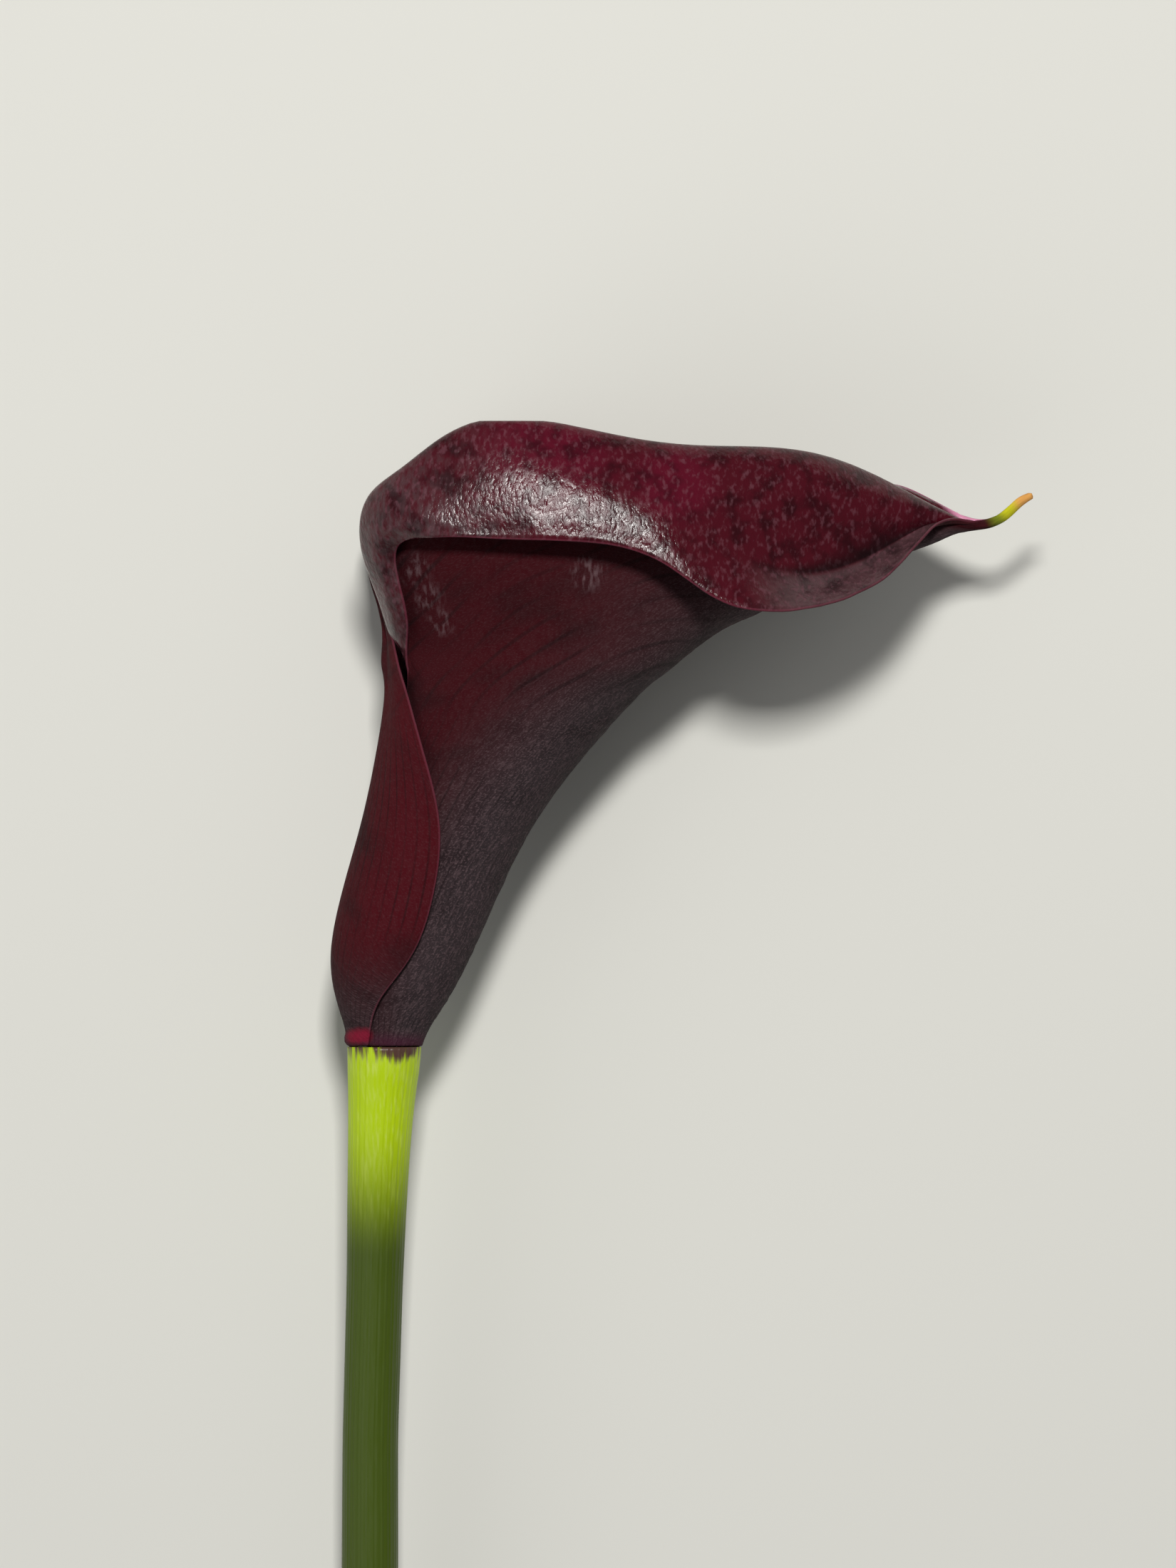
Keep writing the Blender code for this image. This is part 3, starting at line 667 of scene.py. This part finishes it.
def spathe_material(colours, vein_depth):
    """Calla spathe: thin living tissue. The back is matt velvet, and the inside is waxy with a wet, pebbly gloss."""
    mat, tree = new_material("wine_calla_spathe_tissue")
    masks = spathe_masks(tree)
    inside = masks["inside"]
    grain = add(tree, "ShaderNodeTexNoise", {"Vector": masks["tissue_mm"], "Scale": 3.4, "Detail": 3.0}, "Fac")
    wrinkle = add(tree, "ShaderNodeMapping", {"Vector": masks["tissue_mm"], "Scale": (2.2, 0.7, 1.0)})
    wrinkle = add(tree, "ShaderNodeTexNoise", {"Vector": wrinkle, "Scale": 1.0, "Detail": 2.0}, "Fac")
    strokes = add(tree, "ShaderNodeMapping", {"Vector": masks["place"], "Rotation": (0, 0, -0.45), "Scale": STROKES})
    fleck = add(tree, "ShaderNodeTexNoise", {"Vector": strokes, "Scale": 1.0, "Detail": 3.0}, "Fac")
    back = back_colour(tree, colours, masks, grain, wrinkle)
    lip = lip_colour(tree, colours, masks, fleck)
    tissue = add(tree, "ShaderNodeMix", {0: inside, 6: back, 7: lip}, 2, **RGBA)
    vein = vein_lines(tree, masks)
    tissue = add(tree, "ShaderNodeMix", {0: vein, 6: tissue, 7: colours.dark}, 2, **RGBA)
    tissue = ends_and_edges(tree, colours, masks, tissue)
    rough = add(tree, "ShaderNodeMapRange", {0: inside, 3: 0.9, 4: 0.24}, **SOFT)
    uneven = add(tree, "ShaderNodeMapRange", {0: fleck, 1: 0.35, 2: 0.65, 3: -0.06, 4: 0.08}, **SOFT)
    rough = add(tree, "ShaderNodeMath", {0: rough, 1: uneven}, operation="ADD")
    low = add(tree, "ShaderNodeMapRange", {0: masks["along_rib"], 1: 9.0, 2: 4.0, 3: 0.3, 4: 2.4}, **SOFT)
    back_high = add(tree, "ShaderNodeMath", {0: wrinkle, 1: low, 2: grain}, operation="MULTIPLY_ADD")
    lip_high = add(tree, "ShaderNodeMath", {0: fleck, 1: 1.7}, operation="MULTIPLY")
    high = add(tree, "ShaderNodeMix", {0: inside, 2: back_high, 3: lip_high})
    high = add(tree, "ShaderNodeMath", {0: vein, 1: -0.8, 2: high}, operation="MULTIPLY_ADD")
    bump = add(tree, "ShaderNodeBump", {"Strength": 0.6, "Distance": vein_depth, "Height": high})
    skin = {"Base Color": tissue, "Roughness": rough, "Normal": bump, "IOR": 1.33, "Specular IOR Level": 0.4}
    surface = add(tree, "ShaderNodeBsdfPrincipled", skin)
    add(tree, "ShaderNodeOutputMaterial", {"Surface": surface})
    return mat


def stem_material(colours):
    """Calla stem: smooth juicy skin with a waxy gloss, fine lengthwise lines, and wine streaks at its top."""
    mat, tree = new_material("green_calla_stem_skin")
    place = add(tree, "ShaderNodeTexCoord", out="Object")
    height = add(tree, "ShaderNodeSeparateXYZ", {0: place}, "Y")
    line = add(tree, "ShaderNodeMapping", {"Vector": place, "Scale": (2.6 / MM, 0.06 / MM, 2.6 / MM)})
    line = add(tree, "ShaderNodeTexNoise", {"Vector": line, "Scale": 1.0, "Detail": 3.0}, "Fac")
    # Partly the stem's own deeper green, partly painted shade: lime under the flower, darker olive lower down; the
    # pale lines fade with it.
    low, high = at_rest((0, -30, 0))[1], at_rest((0, -9, 0))[1]
    part = add(tree, "ShaderNodeMapRange", {0: height, 1: low, 2: high}, **SOFT)
    skin = add(tree, "ShaderNodeMix", {0: part, 6: colours.stem_low_shaded, 7: colours.stem_top}, 2, **RGBA)
    pale = add(tree, "ShaderNodeMapRange", {0: line, 1: 0.45, 2: 0.75, 3: 0.0, 4: 0.25}, **SOFT)
    pale = add(tree, "ShaderNodeMath", {0: pale, 1: part}, operation="MULTIPLY")
    skin = add(tree, "ShaderNodeMix", {0: pale, 6: skin, 7: colours.stem_line}, 2, **RGBA)
    low, high = at_rest((0, -4.5, 0))[1], at_rest((0, -0.5, 0))[1]
    part = add(tree, "ShaderNodeMapRange", {0: height, 1: low, 2: high, 3: 0.0, 4: 0.5}, **SOFT)
    streak = add(tree, "ShaderNodeMapping", {"Vector": place, "Scale": (1.5 / MM, 0.22 / MM, 1.5 / MM)})
    streak = add(tree, "ShaderNodeTexNoise", {"Vector": streak, "Scale": 1.0, "Detail": 4.0}, "Fac")
    pale = add(tree, "ShaderNodeMapRange", {0: streak, 1: 0.5, 2: 0.66}, **SOFT)
    pale = add(tree, "ShaderNodeMath", {0: pale, 1: part}, operation="MULTIPLY")
    skin = add(tree, "ShaderNodeMix", {0: pale, 6: skin, 7: colours.stem_line}, 2, **RGBA)
    x, y, z = at_rest((3.6, 0.9, 5.0))
    gap = add(tree, "ShaderNodeVectorMath", {0: place, 1: (x, y, z)}, "Value", operation="DISTANCE")
    drip = add(tree, "ShaderNodeMapRange", {0: gap, 1: 4.6 * MM, 2: 1.4 * MM, 3: 0.0, 4: 1.7 * MM}, **SOFT)
    ragged = add(tree, "ShaderNodeMapRange", {0: streak, 1: 0.3, 2: 0.7, 3: -1.3 * MM, 4: 1.1 * MM}, **SOFT)
    reach = add(tree, "ShaderNodeMath", {0: height, 1: drip}, operation="ADD")
    reach = add(tree, "ShaderNodeMath", {0: reach, 1: ragged}, operation="ADD")
    low, high = at_rest((0, -1.9, 0))[1], at_rest((0, 0.9, 0))[1]
    wine = add(tree, "ShaderNodeMapRange", {0: reach, 1: low, 2: high, 3: 0.0, 4: 0.95}, **SOFT)
    skin = add(tree, "ShaderNodeMix", {0: wine, 6: skin, 7: colours.foot}, 2, **RGBA)
    cut = add(tree, "ShaderNodeAttribute", out="Fac", attribute_name="cut_face")
    skin = add(tree, "ShaderNodeMix", {0: cut, 6: skin, 7: colours.stem_cut}, 2, **RGBA)
    rough = add(tree, "ShaderNodeMapRange", {0: line, 1: 0.3, 2: 0.7, 3: 0.36, 4: 0.5}, **SOFT)
    bump = add(tree, "ShaderNodeBump", {"Strength": 0.35, "Distance": 0.06 * MM, "Height": line})
    finish = {"Base Color": skin, "Roughness": rough, "Normal": bump, "IOR": 1.38}
    surface = add(tree, "ShaderNodeBsdfPrincipled", finish)
    add(tree, "ShaderNodeOutputMaterial", {"Surface": surface})
    return mat


def spadix_material(colours):
    """Calla spadix: hundreds of tiny florets, dry and mealy with pollen, so matt and uneven in tone."""
    mat, tree = new_material("mealy_calla_spadix_florets")
    place = add(tree, "ShaderNodeTexCoord", out="Object")
    dust = add(tree, "ShaderNodeTexNoise", {"Vector": place, "Scale": 2.0 / MM, "Detail": 3.0}, "Fac")
    patch = add(tree, "ShaderNodeTexNoise", {"Vector": place, "Scale": 0.25 / MM, "Detail": 2.0}, "Fac")
    light = add(tree, "ShaderNodeMapRange", {0: dust, 1: 0.4, 2: 0.7}, **SOFT)
    tone = add(tree, "ShaderNodeMix", {0: light, 6: colours.spadix, 7: colours.pollen}, 2, **RGBA)
    brown = add(tree, "ShaderNodeMapRange", {0: patch, 1: 0.45, 2: 0.75, 3: 0.0, 4: 0.5}, **SOFT)
    tone = add(tree, "ShaderNodeMix", {0: brown, 6: tone, 7: colours.spadix_old}, 2, **RGBA)
    rough = add(tree, "ShaderNodeMapRange", {0: dust, 1: 0.3, 2: 0.7, 3: 0.65, 4: 0.85}, **SOFT)
    surface = add(tree, "ShaderNodeBsdfPrincipled", {"Base Color": tone, "Roughness": rough})
    add(tree, "ShaderNodeOutputMaterial", {"Surface": surface})
    return mat


def floor_material(colours):
    """Painted board: smooth, matt and pale, so that it only carries the flower's shadow."""
    mat, tree = new_material("pale_matt_painted_board")
    surface = add(tree, "ShaderNodeBsdfPrincipled", {"Base Color": colours.floor, "Roughness": 0.9})
    add(tree, "ShaderNodeOutputMaterial", {"Surface": surface})
    return mat


# ---------------------------------------------------------------- pieces


def settle(piece, node):
    """The piece stands for its CAD node, whose part it hides, and rides on the flower's one body."""
    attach(piece, "root")
    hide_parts(node)


class CALLA_OT_spathe(bpy.types.Operator):
    """Builds the rolled spathe as one closed sheet with veins, a thin rim and its curled tail"""

    bl_idname = "calla.build_spathe"
    bl_label = "Build Spathe"

    def execute(self, context):
        settings = context.scene
        mid, normal, half, maps = spathe_sheet(settings.calla_sizes)
        points, faces, ring = shell(mid, normal, half)
        flat = {k: np.concatenate([v.reshape(-1)] * 2 + [v.reshape(-1)[ring]]) for k, v in maps.items()}
        n = mid.shape[0] * mid.shape[1]
        inside = np.concatenate([np.zeros(n), np.ones(n), np.full(len(ring), 0.5)])
        faces = outward(points, faces)
        flat["inside"] = inside
        material = spathe_material(settings.calla_colours, settings.calla_sizes.vein)
        piece = mesh_object("spathe_sheet", inside_box(at_rest(points)), faces, material, flat)
        settle(piece, "spathe")
        return {"FINISHED"}


def stem_swell(sizes):
    """Fine ribs that run the length of the stem, and slow dents."""

    def swell(turn, y):
        ribs = np.cos(turn * 34 + 0.6 * math.sin(y * 0.02)) * 0.5 + np.cos(turn * 55 + 1.3) * 0.3
        dents = 0.10 * np.cos(2 * turn + y * 0.013) + 0.05 * np.cos(3 * turn - y * 0.021 + 1.0)
        return sizes.rib / MM * ribs + dents * (1 - smooth_step(-12, 0, y))

    return swell


class CALLA_OT_stem(bpy.types.Operator):
    """Builds the bare stem, flared under the flower and cut square at its foot"""

    bl_idname = "calla.build_stem"
    bl_label = "Build Stem"

    def execute(self, context):
        settings = context.scene
        sections = [(x, y, z, r) for y, x, z, r in STEM] + [(1.4, 0.04, 0.0, 5.2)]
        rings = tube(sections, STEM_SIDES, 0.5, 3.0, stem_swell(settings.calla_sizes))
        low = rings[..., 2].min() - (FLOOR_Z + 0.02)
        rings[..., 2] -= min(low, 0)
        points, faces = capped(rings, 0.25)
        cut = (points[:, 1] < STEM[0][0] + 0.02).astype(float)
        cut[: 3 * STEM_SIDES] = 1
        material = stem_material(settings.calla_colours)
        piece = mesh_object("stem_stalk", inside_box(at_rest(points)), faces, material, {"cut_face": cut})
        settle(piece, "stem")
        return {"FINISHED"}


def floret_tree(material):
    """A node tree that covers a core with small round florets, packed by a least distance."""
    tree = bpy.data.node_groups.new("spadix_florets", "GeometryNodeTree")
    tree.interface.new_socket("Geometry", in_out="INPUT", socket_type="NodeSocketGeometry")
    for label, default in (("Floret Width", 0.9 * MM), ("Pack Distance", 0.7 * MM)):
        socket = tree.interface.new_socket(label, in_out="INPUT", socket_type="NodeSocketFloat")
        socket.default_value = default
    tree.interface.new_socket("Seed", in_out="INPUT", socket_type="NodeSocketInt")
    tree.interface.new_socket("Geometry", in_out="OUTPUT", socket_type="NodeSocketGeometry")
    given = add(tree, "NodeGroupInput").node.outputs
    scatter = {"Mesh": given["Geometry"], "Distance Min": given["Pack Distance"], "Seed": given["Seed"]}
    scatter["Density Max"] = FLORET_DENSITY
    points = add(tree, "GeometryNodeDistributePointsOnFaces", scatter, "Points", distribute_method="POISSON")
    turn = points.node.outputs["Rotation"]
    bud = add(tree, "GeometryNodeMeshIcoSphere", {"Radius": 0.5, "Subdivisions": 2}, "Mesh")
    size = add(tree, "FunctionNodeRandomValue", {2: 0.85, 3: 1.1, "Seed": given["Seed"]}, 1, data_type="FLOAT")
    width = add(tree, "ShaderNodeMath", {0: size, 1: given["Floret Width"]}, operation="MULTIPLY")
    scale = add(tree, "ShaderNodeCombineXYZ", {"X": width, "Y": width, "Z": width})
    placing = {"Points": points, "Instance": bud, "Rotation": turn, "Scale": scale}
    florets = add(tree, "GeometryNodeInstanceOnPoints", placing)
    florets = add(tree, "GeometryNodeRealizeInstances", {"Geometry": florets})
    florets = add(tree, "GeometryNodeSetShadeSmooth", {"Geometry": florets})
    florets = add(tree, "GeometryNodeSetMaterial", {"Geometry": florets, "Material": material})
    add(tree, "NodeGroupOutput", {"Geometry": florets})
    return tree


def plain_mesh(obj, name):
    """A new object with the evaluated mesh of obj, which is then removed with its modifiers."""
    graph = bpy.context.evaluated_depsgraph_get()
    graph.update()
    mesh = bpy.data.meshes.new_from_object(obj.evaluated_get(graph))
    mesh.name = name
    made = bpy.data.objects.new(name, mesh)
    bpy.context.scene.collection.objects.link(made)
    bpy.data.objects.remove(obj, do_unlink=True)
    return made


class CALLA_OT_spadix(bpy.types.Operator):
    """Builds the spadix: a tapering core covered with packed florets"""

    bl_idname = "calla.build_spadix"
    bl_label = "Build Spadix"

    def execute(self, context):
        sizes = context.scene.calla_sizes
        sink = 0.30
        sections = [(x, y, 0.0, max(r - sink, 0.3)) for y, x, r in SPADIX]
        rings = tube(sections, 48, 0.5, 1.0, lambda turn, y: 0 * turn)
        points, faces = capped(rings, 0.0)
        material = spadix_material(context.scene.calla_colours)
        core = mesh_object("spadix_core", at_rest(points), faces, material)
        bed = bpy.data.objects.new("floret_bed", core.data.copy())
        context.scene.collection.objects.link(bed)
        tree = floret_tree(material)
        grow = bed.modifiers.new("florets", "NODES")
        grow.node_group = tree
        ids = {item.name: item.identifier for item in tree.interface.items_tree if item.in_out == "INPUT"}
        grow[ids["Floret Width"]] = sizes.floret
        grow[ids["Pack Distance"]] = sizes.floret * 0.78
        grow[ids["Seed"]] = sizes.seed
        florets = plain_mesh(bed, "spadix_florets")
        for piece in (core, florets):
            settle(piece, "spadix")
        return {"FINISHED"}


# ---------------------------------------------------------------- stage


def area_light(name, place, aim, size, power, colour=(1, 1, 1)):
    data = bpy.data.lights.new(name, "AREA")
    data.size, data.energy, data.color = size, power, colour
    obj = bpy.data.objects.new(name, data)
    obj.location = place
    obj.rotation_euler = (Vector(aim) - Vector(place)).to_track_quat("-Z", "Y").to_euler()
    bpy.context.scene.collection.objects.link(obj)
    return obj


class CALLA_OT_stage(bpy.types.Operator):
    """Sets the floor, the lamps, the world and the camera that looks straight down"""

    bl_idname = "calla.build_stage"
    bl_label = "Build Stage"

    def execute(self, context):
        scene = context.scene
        half = 4.0
        corners = [(-half, -half, 0), (half, -half, 0), (half, half, 0), (-half, half, 0)]
        floor = mesh_object("floor", corners, [(0, 1, 2, 3)], floor_material(scene.calla_colours))
        aim = Vector(at_rest((30.0, 37.0, 6.0)))
        area_light("key", aim + Vector((0.0, 0.39, 1.0)), aim, 0.14, 10.5, (1.0, 0.985, 0.96))
        area_light("fill", aim + Vector((-0.9, -0.5, 0.8)), aim, 0.9, 2.5)
        world = bpy.data.worlds.new("soft_studio")
        scene.world = world
        world.use_nodes = True
        ground = next(n for n in world.node_tree.nodes if n.type == "BACKGROUND")
        ground.inputs["Color"].default_value = (1, 1, 1, 1)
        ground.inputs["Strength"].default_value = 0.18
        reach, view_height = 2.6, 0.220
        data = bpy.data.cameras.new("camera")
        data.sensor_fit, data.sensor_height = "VERTICAL", 36.0
        data.lens = data.sensor_height / 2 / (view_height / 2 / reach)
        camera = bpy.data.objects.new("camera", data)
        camera.location = aim + Vector((0, 0, reach))
        scene.collection.objects.link(camera)
        scene.camera = camera
        scene.view_settings.view_transform = "Standard"
        return {"FINISHED"}


class CALLA_PT_panel(bpy.types.Panel):
    """Lists the flower's pieces and their settings"""

    bl_label = "Calla Lily"
    bl_idname = "CALLA_PT_panel"
    bl_space_type = "VIEW_3D"
    bl_region_type = "UI"
    bl_category = "Calla"

    def draw(self, context):
        for group in (context.scene.calla_sizes, context.scene.calla_colours):
            box = self.layout.box()
            for name in group.__annotations__:
                box.prop(group, name)
        for operator in (CALLA_OT_stage, CALLA_OT_stem, CALLA_OT_spathe, CALLA_OT_spadix):
            self.layout.operator(operator.bl_idname)


CLASSES = (
    CallaSizes,
    CallaColours,
    CALLA_OT_stage,
    CALLA_OT_stem,
    CALLA_OT_spathe,
    CALLA_OT_spadix,
    CALLA_PT_panel,
)


def register():
    for cls in CLASSES:
        bpy.utils.register_class(cls)
    bpy.types.Scene.calla_sizes = PointerProperty(type=CallaSizes)
    bpy.types.Scene.calla_colours = PointerProperty(type=CallaColours)


def unregister():
    del bpy.types.Scene.calla_colours
    del bpy.types.Scene.calla_sizes
    for cls in reversed(CLASSES):
        bpy.utils.unregister_class(cls)


def main():
    register()
    bpy.ops.calla.build_stage()
    bpy.ops.calla.build_stem()
    bpy.ops.calla.build_spathe()
    bpy.ops.calla.build_spadix()


if __name__ == "__main__":
    main()
